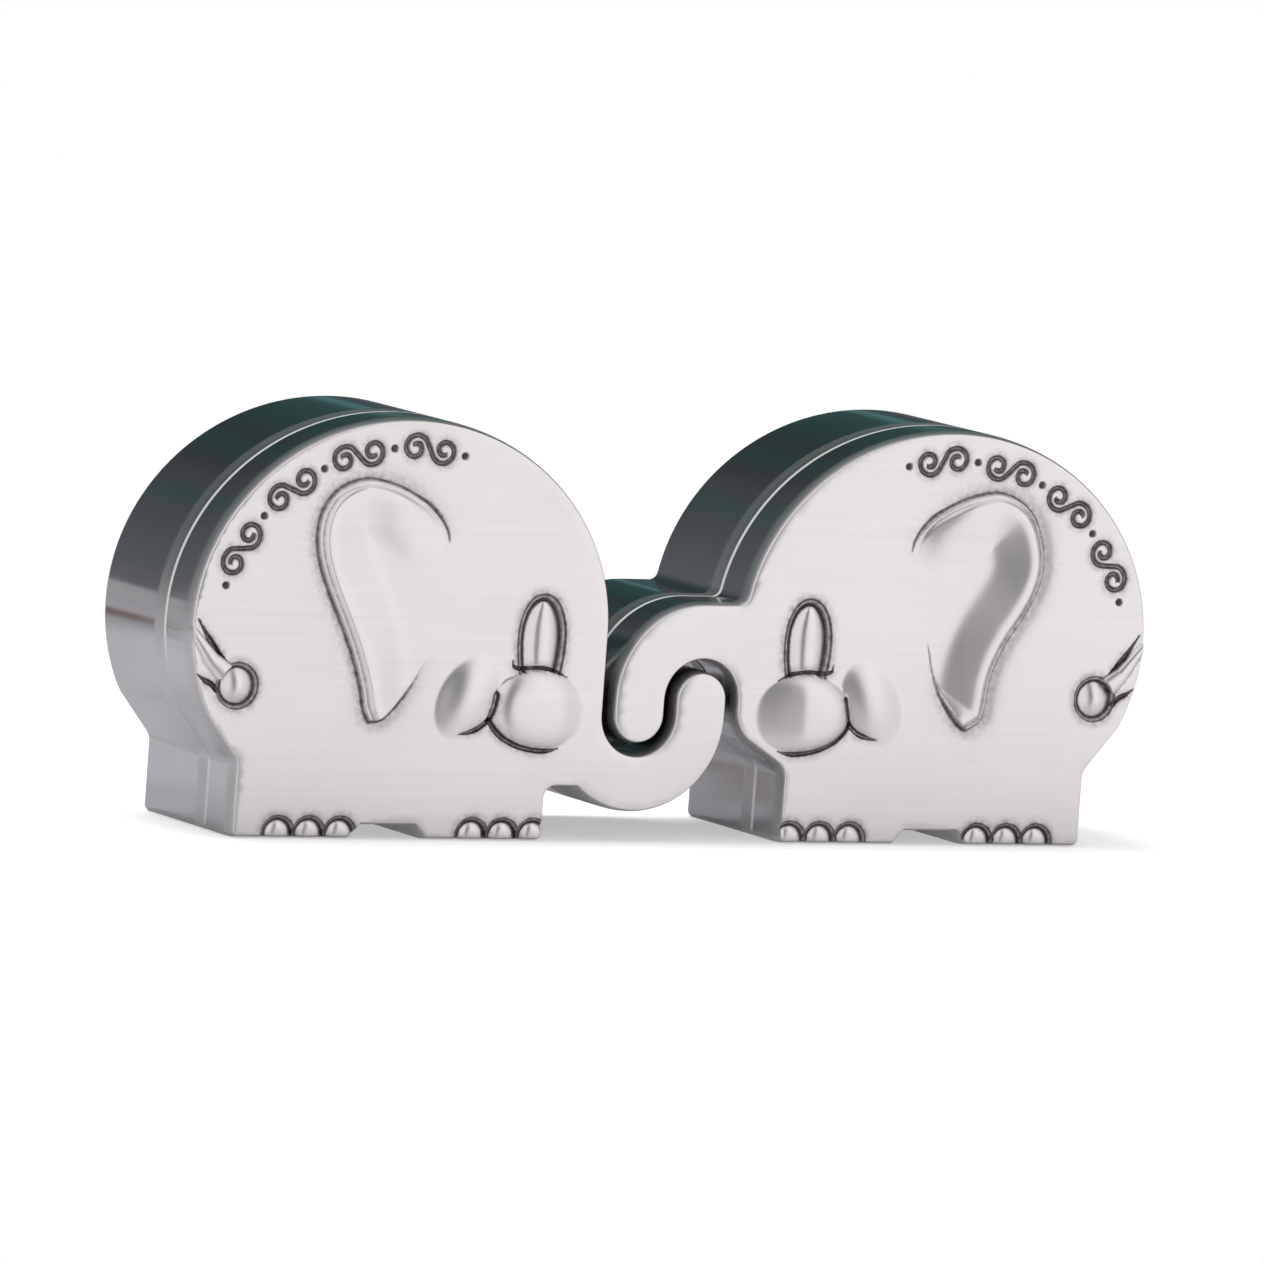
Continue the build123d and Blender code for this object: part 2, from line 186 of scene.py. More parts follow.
# Meshes
LID_LEVELS = (0.13, 0.26, 0.52, 1.04)      # pitches that a lid's face is filled with
PAD_LEVELS = (0.5, 0.9, 1.4)
WIDEST = 1.4
RING_WIDEST = 1.2
RING_CLOSEST = 0.2
RING_SHARES = (0.0, 0.2, 0.4, 0.6, 0.8, 1.0)      # where along an edge its spacing is asked for
LEVEL = 0.01              # two levels nearer than this are one
WELD = 0.002              # corners of a CAD mesh nearer than this are one
NEEDLE = 0.001            # edges shorter than this are taken away where a mesh is cut
SAME_CORNER = 0.0005      # and corners of a finished mesh nearer than this are one
FACE_SMOOTH = 38.0        # degrees up to which the sides of a rebuilt piece shade as one
LINING_SMOOTH = 50.0
GRAIN_SQUARE = 100.0      # side of the square that the brushed grain is laid out on
BRUSHED, POLISHED, SATIN = range(3)      # materials of a lid

# How dull the walls are rubbed, by depth from face to back. The same strips are painted lighter, a painted
# highlight where their edges round towards the light.
DULL_LIT_FROM = -13.0
DULL_LIT_TO = 13.0
DULL_LIT_STRIPS = (
    (-11.4, 1.0), (-10.0, 0.9), (-9.2, 0.25), (-6.4, 0.1), (-4.9, 0.0), (-4.4, 0.7), (-2.9, 0.95),
    (-1.8, 0.85), (-1.5, 0.06), (-0.9, 0.0))

# Studio. What the metal reflects is given as colours by degrees: all round the object, and for what lies
# behind it, round the line of sight.
DARK_CORNER = (0.060, 0.070, 0.075)
STUDIO_WALLS = (
    (-180, DARK_CORNER), (-138, DARK_CORNER), (-126, 0.72), (-54, 0.85), (-6, 0.95),
    (3.5, (0.03, 0.035, 0.045)), (15, (0.03, 0.035, 0.045)), (19, 1.06), (43, 1.06),
    (48, (0.92, 0.885, 0.89)), (72, (0.82, 0.77, 0.77)), (84, (0.42, 0.39, 0.38)), (100, (0.34, 0.31, 0.30)),
    (116, (0.045, 0.035, 0.032)), (180, DARK_CORNER))
STUDIO_BACK = (
    (-173, (0.43, 0.425, 0.44)), (-90, (0.40, 0.395, 0.41)), (-8, (0.36, 0.355, 0.37)),
    (-3, (0.10, 0.11, 0.12)), (14, (0.040, 0.060, 0.061)), (20, (0.095, 0.22, 0.215)),
    (28, (0.037, 0.078, 0.075)), (52, (0.030, 0.064, 0.062)), (70, (0.040, 0.050, 0.053)),
    (84, (0.033, 0.066, 0.064)), (94, (0.048, 0.058, 0.062)), (112, (0.070, 0.080, 0.086)),
    (122, (0.058, 0.092, 0.092)), (130, (0.083, 0.093, 0.10)), (165, (0.12, 0.13, 0.14)),
    (178, (0.15, 0.155, 0.165)))
BACK_FROM = 0.35          # depth of a direction from which it looks at what lies behind
CEILING = (0.75, 0.95)    # height of a direction over which it turns to the ceiling
CEILING_TONE = (0.9, 0.9, 0.9)
FLOOR = 4000.0
FLOOR_TONE = (0.95, 0.95, 0.95)
FLOOR_MIRRORED = (0.66, 0.66, 0.66)
TABLE = (
    (0.36, (0.14, 0.10, 0.08)), (0.42, (0.29, 0.285, 0.30)), (0.5, (0.36, 0.355, 0.37)),
    (0.64, (0.47, 0.46, 0.48)))
TABLE_FROM = -60.0        # the metal sees the table from here backwards to the middle
FLOOR_FADES = (("Is Camera Ray", 0, 90, 220), ("Is Glossy Ray", 130, 160, 240))      # middle, near and far
SHADOW_LIFT = 0.4         # share of plain white in the floor, which keeps shadows on it light
FLOOR_GLOW = 1.1
LAMPS = {"key": ((-0.4, 0.35, 1.7), 24), "fill": ((0.7, 0.2, 1.7), 10)}      # places in metres and watts
LAMP_AIM = (0, 0, 0.02)
LAMP_SIZE = 1.0

# Camera, fitted to the outlines of both boxes in the photograph
CAMERA_AZIMUTH = -27.692
CAMERA_ELEVATION = 6.076
CAMERA_ROLL = 4.201
CAMERA_DISTANCE = 1777.2
CAMERA_AIM = (-6.027, 25.234)
CAMERA_FOCAL = 14985.7    # in pixels of the photograph
CAMERA_SENSOR = 36.0
CAMERA_SIGHT = 50.0       # metres
PHOTO_PIXELS = 1263.0
NODE_GAP = (250, 260)     # between shader nodes, across and down


def soft_step(low, high, x):
    """0 below low, 1 above high and smooth between."""
    t = np.clip((x - low) / (high - low), 0, 1)
    return t * t * (3 - 2 * t)


def soft_ramp(start, softness, x):
    """Zero before start, then rising one for one, with a soft corner."""
    return softness * np.logaddexp(0, (x - start) / softness)


def bell(x, half_width):
    """1 at zero and falling off smoothly within about half_width."""
    return np.exp(-(x / half_width) ** 2)


def curve_through(points, steps=6):
    """Smooth line through the points, with steps pieces between each two of them."""
    p = np.array([points[0], *points, points[-1]], float)
    line = []
    for a, b, c, d in zip(p, p[1:], p[2:], p[3:]):
        for t in np.arange(steps) / steps:
            line.append(0.5 * (2 * b + (c - a) * t + (2 * a - 5 * b + 4 * c - d) * t**2
                               + (3 * b - a - 3 * c + d) * t**3))
    return np.array([*line, points[-1]])


def oval(u, z, place, wide, tall, tilt=0.0):
    """Signed distance from an oval's edge, negative inside, and the share of the way out from its middle."""
    turn = math.radians(tilt)
    du = u - place[0]
    dz = z - place[1]
    across = du * math.cos(turn) - dz * math.sin(turn)
    along = du * math.sin(turn) + dz * math.cos(turn)
    a = wide / 2
    b = tall / 2
    share = np.hypot(across / a, along / b)
    slope = np.hypot(across / a**2, along / b**2) + 1e-9
    return share * (share - 1) / slope, share


def line_distance(u, z, line, near=6.0):
    """Distance from a line of points, up to near, and the share of the way along it where it is nearest."""
    best = np.full(u.shape, near)
    place = np.zeros(u.shape)
    low = line.min(axis=0) - near
    high = line.max(axis=0) + near
    here = np.nonzero((u > low[0]) & (u < high[0]) & (z > low[1]) & (z < high[1]))[0]
    uu = u[here]
    zz = z[here]
    dist = best[here]
    part = place[here]
    count = len(line) - 1
    for i in range(count):
        start = line[i]
        step = line[i + 1] - start
        length = step @ step
        if length == 0:
            continue
        t = np.clip(((uu - start[0]) * step[0] + (zz - start[1]) * step[1]) / length, 0, 1)
        d = np.hypot(uu - start[0] - t * step[0], zz - start[1] - t * step[1])
        closer = d < dist
        dist = np.where(closer, d, dist)
        part = np.where(closer, (i + t) / count, part)
    best[here] = dist
    place[here] = part
    return best, place


def inside(u, z, outline):
    """True where a place is inside a closed outline."""
    result = np.zeros(u.shape, bool)
    for a, b in zip(outline, np.roll(outline, -1, axis=0)):
        if a[1] == b[1]:
            continue
        crosses = (a[1] > z) != (b[1] > z)
        result ^= crosses & (u < a[0] + (z - a[1]) * (b[0] - a[0]) / (b[1] - a[1]))
    return result


class Face:
    """Height and patina of a lid's face at given places, as its forms are added one by one."""

    FAR = 9.0

    def __init__(self, u, z):
        self.u = u
        self.z = z
        self.height = np.zeros(u.shape)
        self.patina = np.zeros(u.shape)
        self.near = np.full(u.shape, self.FAR)      # distance to the nearest sharp line
        self.form = np.full(u.shape, self.FAR)      # distance to the nearest raised form

    def sharp(self, distance):
        self.near = np.minimum(self.near, np.abs(distance))

    def raise_here(self, distance):
        self.form = np.minimum(self.form, distance)

    def darken(self, amount):
        self.patina = np.maximum(self.patina, amount)

    def engrave(self, line, width, depth, dark=1.0, taper=(0.0, 0.0), middle=LINE_LIT_MIDDLE_TONE):
        """Groove along a line, narrowing towards its ends over the given shares of its length."""
        distance, place = line_distance(self.u, self.z, line)
        half = np.full(self.u.shape, width / 2)
        for share, end in zip(taper, (place, 1 - place)):
            if share:
                half = half * (LINE_NARROW + (1 - LINE_NARROW) * soft_step(0, share, end))
        ratio = distance / half
        strength = half / (width / 2)
        self.height -= depth * (1 - soft_step(*LINE_WALL, ratio)) * strength
        # Lighter middle of the groove: a painted highlight of its floor
        inner = middle + (1 - middle) * soft_step(*LINE_LIT_MIDDLE, ratio)
        self.darken(dark * (1 - soft_step(*LINE_DARK, ratio)) * inner)
        self.darken(HAZE_TONE * dark * bell(np.maximum(distance - half, 0), HAZE_REACH) * strength)
        self.sharp(np.maximum(distance - width / 2, 0))

    def moat(self, distance, width, cover=1.0):
        """Dark groove outside an edge, with a lighter ridge along it; thinner where cover is under one."""
        wall = soft_step(GROOVE_WALL, width, distance) - 1
        # Less patina on the ridge: a painted highlight
        crest = GROOVE_CREST_LIGHT * bell(distance - width / 2, width * GROOVE_CREST)
        zone = (distance >= 0) & (distance < width * cover)
        self.height = np.where(zone, GROOVE_DEPTH * cover * (wall + 0.5 * crest), self.height)
        outer = 1 - soft_step(width * 0.8, width * 1.15, distance / cover)
        self.darken(soft_step(-0.2, -0.02, distance) * outer * (1 - 0.6 * crest))
        tone, reach = GROOVE_HAZE
        beside = (distance > 0) & (cover > 0.9)
        self.darken(tone * bell(np.maximum(distance - width, 0), reach) * beside)
        self.sharp(np.where(distance < 0, distance, np.maximum(distance - width, 0)))
        self.raise_here(distance)

    def dome(self, place, wide, rise, flat, groove, cover=1.0):
        """Round cap on sunk ground, with a dark groove round it; the higher flat is, the fuller its sides."""
        distance, share = oval(self.u, self.z, place, wide, wide)
        capped = (rise + GROOVE_DEPTH) * (1 - np.minimum(share, 1) ** flat) - GROOVE_DEPTH
        self.height = np.where(distance < 0, capped, self.height)
        self.moat(distance, groove, cover)


def add_ear(face, box):
    """Ear that stands up behind, slopes down inwards and runs out towards the forehead."""
    u, z = face.u, face.z
    edge_points = EAR_TOP + EAR_REAR[box] + (EAR_TIP,)
    rear = curve_through(edge_points)
    lower = curve_through(EAR_LOWER[box])
    gap, place = line_distance(u, z, rear, EAR_REACH)
    lower_gap, lower_place = line_distance(u, z, lower, EAR_REACH)
    behind, _ = line_distance(u, z, curve_through(edge_points[EAR_CREST_FROM:]), EAR_REACH)
    in_ear = inside(u, z, np.concatenate([rear, lower]))
    strength = 1 - soft_step(*EAR_FADE, u)

    gained, within = EAR_RIM
    rim = gained * soft_step(0.0, within, gap) - EAR_BEAD_DEPTH * bell(gap - EAR_BEAD, 0.15)
    rim = rim + (1 - gained) * soft_step(EAR_BEAD, EAR_INNER, gap)
    slope = EAR_RISE / (EAR_FOOT - EAR_CREST)
    fall = slope * (soft_ramp(EAR_CREST, 0.22, behind) - soft_ramp(EAR_FOOT, 0.4, behind))
    raised = strength * np.maximum(EAR_RISE - fall, 0) * rim * soft_step(0.0, 0.4, lower_gap)
    edge = np.minimum(gap, lower_gap)
    depth, reach = EAR_HOLLOW
    face.height += np.where(in_ear, raised, -depth * bell(edge, reach) * strength)

    ends = soft_step(0.0, 0.05, place)
    face.darken(0.85 * (1 - soft_step(0.04, 0.30, gap)) * ends)
    face.darken(np.where(in_ear, 0.5 * bell(gap - EAR_BEAD, 0.12) * soft_step(0.38, 0.5, place), 0))
    lower_ends = soft_step(0.0, 0.55, 1 - lower_place)
    face.darken(0.9 * (1 - soft_step(0.05, 0.16 + 0.24 * lower_ends, lower_gap)) * lower_ends)
    # Darker band outside the ear's edge, fading with distance from it
    ear_darkening = np.exp(-edge / EAR_DARKENING_REACH) * (0.25 + 0.75 * strength)
    face.darken(np.where(in_ear, 0, 0.5 * ear_darkening * np.where(gap < lower_gap, ends, lower_ends)))
    face.near = np.minimum(face.near, np.maximum(edge - 1.0, 0))
    face.raise_here(np.where(in_ear, 0, edge))
    face.engrave(curve_through(EAR_TOP[:EAR_TOP_POINTS]), **EAR_TOP_LINE)


def add_tail(face):
    """Tail that widens from the rump, and its round tuft with only a thin line between the two."""
    gap, place = line_distance(face.u, face.z, np.array(TAIL_AXIS))
    half = TAIL_HALF[0] + TAIL_HALF[1] * place
    distance = gap - half
    share = np.clip(gap / half, 0, 1)
    horn = (TAIL_RISE[0] + TAIL_RISE[1] * place) * np.sqrt(np.maximum(1 - share**2, 0)) - TAIL_SINK
    face.engrave(curve_through(TAIL_UPPER), **TAIL_UPPER_LINE)
    face.engrave(curve_through(TAIL_LOWER), **TAIL_LOWER_LINE)
    within = distance < 0
    face.height = np.where(within, np.maximum(face.height, horn), face.height)
    face.patina = np.where(within, face.patina * soft_step(-0.3, 0.0, distance), face.patina)
    face.sharp(distance)
    face.raise_here(distance)
    face.dome(**TUFT, cover=1 - TUFT_THIN * (1 - soft_step(-0.5, 0.1, distance)))


def add_eye(face):
    """Upright eye: round top, sides that draw in a little towards the cheek, and a groove round it."""
    du = face.u - EYE["place"][0]
    up = face.z - EYE["place"][1]
    reach = np.where(up > 0, EYE["tall"] / 2, EYE["foot"])
    half = np.sqrt(np.maximum(1 - (up / reach) ** 2, 0)) * EYE["wide"] / 2
    distance, _ = oval(du, up, (0, 0), EYE["wide"], 2 * reach)
    distance = np.where(face.z < CHEEK["place"][1], face.FAR, distance)
    share = np.minimum(np.abs(du) / np.maximum(half, 1e-6), 1)
    fullness = np.sqrt(half / (EYE["wide"] / 2))
    capped = (EYE["rise"] + GROOVE_DEPTH) * (1 - share ** EYE["flat"]) * fullness - GROOVE_DEPTH
    face.height = np.where(distance < 0, capped, face.height)
    face.moat(distance, EYE["groove"])


def add_jowl(face):
    """Small cheek behind the mouth."""
    distance, share = oval(face.u, face.z, **JOWL)
    face.height += JOWL_RISE * (1 - np.minimum(share, 1) ** 2) ** 1.4
    face.raise_here(distance)


def add_cheek(face, box):
    """Broad cheek: a long slope towards the trunk, round behind, and level from top to bottom."""
    distance, share = oval(face.u, face.z, **CHEEK)
    up = (face.z - CHEEK["place"][1]) / (CHEEK["tall"] / 2)
    reach = np.sqrt(np.maximum(1 - np.minimum(np.abs(up), 1) ** 2, 1e-4))
    side = (face.u - CHEEK["place"][0]) / (CHEEK["wide"] / 2)
    first, second = CHEEK_FALL[box]
    forward = first * soft_ramp(0.0, 0.04, side) + second * soft_ramp(CHEEK_BEND, 0.03, side)
    behind = CHEEK_REAR_FALL * soft_ramp(CHEEK_PLATEAU, 0.06, -side) ** 2
    swell = np.maximum(CHEEK_RISE - forward - behind, 0)
    swell = swell * (1 - np.minimum(share, 1) ** 6) * (0.35 + 0.65 * reach)
    at_edge = distance >= -0.6
    ground = np.where(face.z > CHEEK["place"][1] + 2, 0, face.height)
    swell = np.where(at_edge, np.maximum(swell, ground), swell)
    face.height = np.where(distance < 0, swell, face.height)
    face.patina = face.patina * soft_step(-0.35, 0.0, distance)
    face.near = np.where(distance < -0.4, face.FAR, face.near)
    face.raise_here(distance)


def add_mouth(face):
    """Lines between eye and cheek and round the mouth."""
    face.engrave(curve_through(EYE_UNDER), **EYE_UNDER_LINE)
    for line, taper in MOUTH:
        face.engrave(curve_through(line), taper=(0.0, taper), **MOUTH_LINE)


def add_toes(face):
    """Round nails on both feet, cut off by the floor."""
    for foot in range(2):
        for number in range(TOES_PER_FOOT):
            along = TOES["first"] + foot * TOES["feet"] + number * TOES["pitch"]
            face.dome((along, TOES["top"] - TOE["wide"] / 2), **TOE)


def scroll_lines():
    """Running scrolls with a bead between each two, laid along the crown as an oval band."""
    across = HALF_LENGTH - SCROLL_INSET
    up = HEIGHT / 2 - SCROLL_INSET
    angles = np.radians(np.linspace(*SCROLL_ANGLES, 200))
    band = np.stack([across * np.cos(angles), HEIGHT / 2 + up * np.sin(angles)], axis=1)
    steps = np.hypot(*np.diff(band, axis=0).T)
    along = np.concatenate([[0], np.cumsum(steps)])
    away = np.stack([np.cos(angles) / across, np.sin(angles) / up], axis=1)
    away /= np.linalg.norm(away, axis=1)[:, None]

    def laid(points):
        """Points given along and across the band, on the lid's face."""
        s, t = np.array(points).T
        spot = np.stack([np.interp(s, along, band[:, k]) for k in range(2)], axis=1)
        out = np.stack([np.interp(s, along, away[:, k]) for k in range(2)], axis=1)
        return spot + out * t[:, None]

    pitch = along[-1] / SCROLLS
    curl = []
    for t in np.linspace(0, 1, SCROLL_POINTS):
        turn = math.radians(SCROLL_TURN * (1 - t) - SCROLL_RUN_OUT)
        reach = SCROLL_RADIUS * (SCROLL_EYE + (1 - SCROLL_EYE) * t)
        curl.append((-SCROLL_ARM - reach * math.sin(turn), reach * math.cos(turn)))
    scroll = curl + [(-x, -y) for x, y in reversed(curl)]
    lines = [laid([((number + 0.5) * pitch + x, y) for x, y in scroll]) for number in range(SCROLLS)]
    beads = laid([(number * pitch, 0.0) for number in range(SCROLLS + 1)])
    return lines, beads


def add_scrolls(face):
    """Engraved scroll band."""
    lines, beads = scroll_lines()
    for line in lines:
        face.engrave(line, **SCROLL_LINE)
    for bead in beads:
        distance = np.hypot(face.u - bead[0], face.z - bead[1]) - BEAD
        face.height -= SCROLL_DEPTH * (1 - soft_step(-BEAD_WALL, 0.0, distance))
        face.darken(SCROLL_DARK * (1 - soft_step(-0.15, 0.1, distance)))
        face.sharp(np.maximum(distance, 0))


def lid_face(box, u, z):
    """Face of a box's lid at given places, with all its forms."""
    face = Face(u, z)
    add_ear(face, box)
    add_tail(face)
    add_jowl(face)
    add_eye(face)
    add_cheek(face, box)
    add_mouth(face)
    add_toes(face)
    add_scrolls(face)
    face.height = np.minimum(face.height, RELIEF)
    return face


def lid_spacing(face):
    """How far apart points of the mesh may lie on the face."""
    fine = 0.13 + 0.22 * np.maximum(face.near, 0)
    smooth = 0.34 + 0.25 * np.maximum(face.form, 0)
    return np.minimum(np.minimum(fine, smooth), WIDEST)


# Meshes that start from a CAD node

def cad_mesh(node_name):
    """Mesh of a CAD node with its corners joined."""
    mesh = bmesh.new()
    mesh.from_mesh(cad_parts[node_name].data)
    bmesh.ops.remove_doubles(mesh, verts=mesh.verts, dist=WELD * MM)
    return mesh


def levels_of(polygon):
    """Lowest and highest y of a polygon or edge."""
    ys = [corner.co.y / MM for corner in polygon.verts]
    return min(ys), max(ys)


def lies_at(polygon, level):
    return all(abs(y - level) < LEVEL for y in levels_of(polygon))


def chain(edges):
    """Corners of one closed ring of edges, in order."""
    left = set(edges)
    first = edges[0]
    left.remove(first)
    ring = [first.verts[0], first.verts[1]]
    while left:
        step = next((e for e in ring[-1].link_edges if e in left), None)
        if step is None:
            break
        left.remove(step)
        corner = step.other_vert(ring[-1])
        if corner is ring[0]:
            break
        ring.append(corner)
    return ring


def flat_outline(corners):
    """Front view of some corners, in millimetres."""
    return np.array([(corner.co.x, corner.co.z) for corner in corners]) / MM


def outward(points):
    """Step out of a closed outline at each point that keeps both its sides one unit away."""
    before = points - np.roll(points, 1, axis=0)
    after = np.roll(points, -1, axis=0) - points
    area = (points[:, 0] * np.roll(points[:, 1], -1) - np.roll(points[:, 0], -1) * points[:, 1]).sum()
    normals = []
    for side in (before, after):
        side = side / np.linalg.norm(side, axis=1)[:, None]
        normals.append(np.stack([side[:, 1], -side[:, 0]], axis=1) * np.sign(area))
    both = normals[0] + normals[1]
    return both / (1 + (normals[0] * normals[1]).sum(axis=1))[:, None]


def outline_gap(u, z, outline):
    """Distance of places from a closed outline."""
    return line_distance(u, z, np.concatenate([outline, outline[:1]]), math.inf)[0]


def scattered(outline, spacing_at, pitches):
    """Points inside an outline, closer together where spacing_at asks for it."""
    low = outline.min(axis=0)
    high = outline.max(axis=0)
    kept = []
    for pitch, coarser in zip(pitches, (*pitches[1:], math.inf)):
        up = np.arange(low[1], high[1], pitch * 0.866)      # rows of even triangles
        x, z = np.meshgrid(np.arange(low[0], high[0], pitch), up)
        x = x + (np.arange(len(up)) % 2)[:, None] * pitch / 2
        points = np.stack([x.ravel(), z.ravel()], axis=1)
        points = points[inside(*points.T, outline)]
        wish = spacing_at(*points.T)
        chosen = wish < coarser
        if pitch > pitches[0]:
            chosen &= wish >= pitch
        points = points[chosen]
        kept.append(points[outline_gap(*points.T, outline) > pitch * 0.6])
    return np.concatenate(kept)


def split_edges(mesh, ring, spacing_at):
    """Add corners along a ring's long edges, so that it can follow the forms that run over it."""
    result = []
    for a, b in zip(ring, ring[1:] + ring[:1]):
        result.append(a)
        edge = mesh.edges.get((a, b))
        length = edge.calc_length() / MM
        spots = [(a.co * (1 - share) + b.co * share) / MM for share in RING_SHARES]
        wish = spacing_at(np.array([spot.x for spot in spots]), np.array([spot.z for spot in spots])).min()
        wish = max(min(wish, RING_WIDEST), RING_CLOSEST)
        if (a.co + b.co).z <= 0:      # along the soles, where the nails are cut off
            wish = RING_CLOSEST
        pieces = max(1, math.ceil(length / wish))
        corner = a
        for number in range(pieces - 1):
            edge, corner = bmesh.utils.edge_split(edge, corner, 1 / (pieces - number))
            result.append(corner)
            edge = mesh.edges.get((corner, b))
    return result


def into_scene(name, data):
    """New object of the scene."""
    made = bpy.data.objects.new(name, data)
    bpy.context.scene.collection.objects.link(made)
    return made


def finished(mesh, name, smooth_angle, *materials):
    """Piece made from a mesh, smooth where its sides meet at less than an angle in degrees."""
    bmesh.ops.remove_doubles(mesh, verts=mesh.verts, dist=SAME_CORNER * MM)
    bmesh.ops.triangulate(mesh, faces=[f for f in mesh.faces if len(f.verts) > 4])
    bmesh.ops.recalc_face_normals(mesh, faces=mesh.faces)
    data = bpy.data.meshes.new(name)
    mesh.to_mesh(data)
    mesh.free()
    carried = data.attributes.get("custom_normal")
    if carried:
        data.attributes.remove(carried)
    data.shade_smooth()
    data.set_sharp_from_angle(angle=math.radians(smooth_angle))
    for material in materials:
        data.materials.append(material)
    return into_scene(name, data)


class Refacing:
    """CAD node whose side towards out, at face_y, is built anew with rounded edges from start_y on.

    keep says of a polygon's lowest and highest y whether it stays. height_at gives the height and patina of
    the new face, and spacing_at how far apart its points may lie."""

    def __init__(self, node_name, start_y, face_y, out, keep, height_at, spacing_at):
        self.mesh = cad_mesh(node_name)
        self.patina = self.mesh.verts.layers.float.new("patina")
        self.grain = self.mesh.loops.layers.uv.new("grain")
        self.start_y = start_y
        self.face_y = face_y
        self.out = out
        self.height_at = height_at
        self.spacing_at = spacing_at
        self.cut_open(keep)

    def cut_open(self, keep):
        """Take away what is built anew, and find the ring that it starts from."""
        mesh = self.mesh
        bmesh.ops.bisect_plane(
            mesh, geom=mesh.verts[:] + mesh.edges[:] + mesh.faces[:], plane_co=(0, self.start_y * MM, 0),
            plane_no=(0, 1, 0), dist=2 * LEVEL * MM)
        for polygon in mesh.faces:
            polygon.material_index = SATIN
        gone = [polygon for polygon in mesh.faces if not keep(*levels_of(polygon))]
        bmesh.ops.delete(mesh, geom=gone, context="FACES")
        bmesh.ops.dissolve_degenerate(mesh, dist=NEEDLE * MM, edges=mesh.edges)
        open_edges = [e for e in mesh.edges if len(e.link_faces) == 1 and lies_at(e, self.start_y)]
        self.ring = split_edges(mesh, chain(open_edges), self.spacing_at)
        bmesh.ops.triangulate(mesh, faces=mesh.faces[:])
        self.outline = flat_outline(self.ring)
        self.step = outward(self.outline)

    def corner(self, x, z, height, dark):
        made = self.mesh.verts.new((x * MM, (self.face_y + self.out * height) * MM, z * MM))
        made[self.patina] = dark
        return made

    def row(self, inset, drop, lift):
        """Ring of new corners drawn in by inset, drop below the face, following a share of its forms.

        Where the outline turns too tightly for the inset, neighbours share one corner."""
        points = self.outline - self.step * inset
        free = np.nonzero(outline_gap(*points.T, self.outline) > 0.999 * inset - 0.0001)[0]
        heights, darks = self.height_at(*points[free].T)
        corners = [
            self.corner(x, z, height * lift - drop, dark * lift**4)
            for (x, z), height, dark in zip(points[free], heights, darks)]
        steps = np.abs(np.arange(len(points))[:, None] - free)
        steps = np.minimum(steps, len(points) - steps)
        return [corners[nearest] for nearest in steps.argmin(axis=1)]

    def roll_edge(self, edge_round, edge_deep):
        """Rounded edge from the ring to the border of the face, which it gives back."""
        arc = np.radians(EDGE_ARC)
        if abs(self.face_y - self.start_y) < edge_deep + LEVEL:
            arc = arc[1:]
        rows = [self.ring] + [
            self.row(edge_round * (1 - math.cos(a)), edge_deep * (1 - math.sin(a)), math.sin(a)) for a in arc]
        for number, (first, second) in enumerate(zip(rows, rows[1:])):
            for i in range(len(first)):
                j = (i + 1) % len(first)
                around = list(dict.fromkeys((first[i], first[j], second[j], second[i])))
                if len(around) > 2:
                    side = self.mesh.faces.new(around)
                    side.material_index = POLISHED if number < len(rows) - EDGE_ROWS else BRUSHED
        return list(dict.fromkeys(rows[-1]))

    def fill(self, border, pitches):
        """Face within its border, as triangles between scattered points."""
        outline = flat_outline(border)
        count = len(border)
        spots = np.concatenate([outline, scattered(outline, self.spacing_at, pitches)])
        around = [(i, (i + 1) % count) for i in range(count)]
        vertices, _, polygons, origin, _, _ = delaunay_2d_cdt([Vector(p) for p in spots], around, [], 1, 1e-5)
        places = np.array([(v.x, v.y) for v in vertices])
        corners = []
        for sources, (x, z), height, dark in zip(origin, places, *self.height_at(*places.T)):
            at_border = sources and sources[0] < count
            corners.append(border[sources[0]] if at_border else self.corner(x, z, height, dark))
        for polygon in polygons:
            if len({corners[i] for i in polygon}) > 2:
                self.mesh.faces.new([corners[i] for i in polygon])

    def lay_grain(self):
        """Front view as texture coordinates, which gives the brushed grain its direction."""
        size = GRAIN_SQUARE * MM
        for polygon in self.mesh.faces:
            for loop in polygon.loops:
                loop[self.grain].uv = (loop.vert.co.x / size + 0.5, loop.vert.co.z / size)


def lid(box, side, materials):
    """Lid of a box: cast inside as the CAD lid, with its face modelled in full."""
    def forms(x, z):
        face = lid_face(box, side * x + BODY_MIDDLE, z)
        return face.height, face.patina

    def spacing(x, z):
        return lid_spacing(lid_face(box, side * x + BODY_MIDDLE, z))

    def keep(low, high):
        return high > start + LEVEL or low > INSIDE_Y

    start = SEAM_Y - SEAM_BEVEL
    casting = Refacing(f"{box}_lid", start, FACE_Y, -1, keep, forms, spacing)
    casting.fill(casting.roll_edge(EDGE_ROUND, EDGE_DEEP), LID_LEVELS)
    casting.lay_grain()
    for polygon in casting.mesh.faces:
        low, high = levels_of(polygon)
        if low >= start - LEVEL and high < SEAM_Y + LEVEL:
            polygon.material_index = POLISHED
    piece = finished(casting.mesh, f"{box}_lid_cast", FACE_SMOOTH, *materials)
    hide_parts(f"{box}_lid")
    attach(piece, f"{box}_cover")


def rim(node_name, level):
    """Outline of a node's flat side at a level."""
    mesh = cad_mesh(node_name)
    flat = {f for f in mesh.faces if lies_at(f, level)}
    ring = chain([e for e in mesh.edges if len(flat.intersection(e.link_faces)) == 1])
    outline = flat_outline(ring)
    mesh.free()
    return outline


